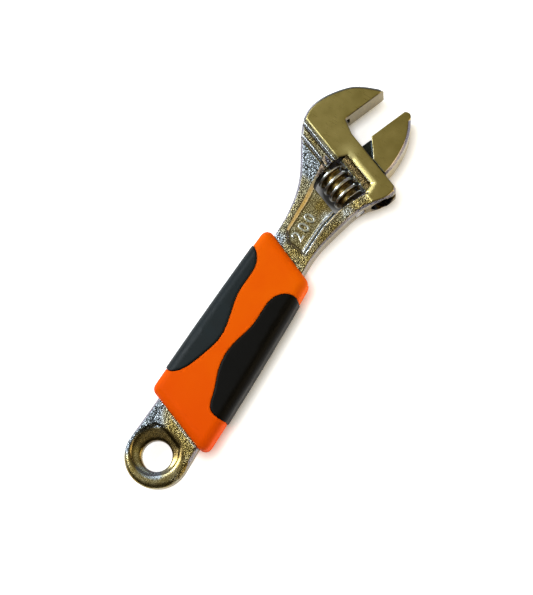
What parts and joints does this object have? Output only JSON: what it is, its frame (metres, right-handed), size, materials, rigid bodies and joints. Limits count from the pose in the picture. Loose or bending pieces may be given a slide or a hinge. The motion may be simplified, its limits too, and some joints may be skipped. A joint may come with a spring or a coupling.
{
  "type": "adjustable wrench",
  "caption": "Adjustable wrench with a sliding jaw on a worm and rack, a forged handle with a hanging hole and a two-colour moulded grip.",
  "frame": {"origin": "centre of the hanging hole at mid-thickness", "axes": "+X along the handle towards the head, +Y towards the fixed jaw, +Z through the thickness, out of the face with the jaws opening to the right of the handle"},
  "size_m": [0.2025, 0.053, 0.0164],
  "materials": {
    "forged_chrome": "satin chrome plate over a forged surface",
    "jaw_chrome": "satin chrome plate",
    "worm_steel": "bright turned steel",
    "pin_steel": "turned",
    "spring_steel": "drawn wire",
    "orange_plastic": "semi-gloss",
    "black_rubber": "soft matte"
  },
  "bodies": {
    "handle": {"body": "forged_chrome", "worm_pin": "pin_steel", "worm_spring": "spring_steel", "grip_sleeve": "orange_plastic", "grip_insert_left": "black_rubber", "grip_insert_right": "black_rubber"},
    "worm": {"worm_knurl": "worm_steel"},
    "jaw": {"movable_jaw": "jaw_chrome"}
  },
  "joints": [
    {"name": "worm_spin", "type": "hinge", "parent": "handle", "child": "worm", "pos_m": [0.14175, -0.00277, 0], "axis": [-0.3502, -0.9367, 0], "range_deg": [-985.3, 1279]},
    {"name": "jaw_slide", "type": "slide", "parent": "handle", "child": "jaw", "axis": [-0.3502, -0.9367, 0], "range_m": [-0.0135, 0.0104]}
  ],
  "couplings": [
    {"joint": "worm_spin", "follows": "jaw_slide", "rad_per_m": -1653.5}
  ]
}
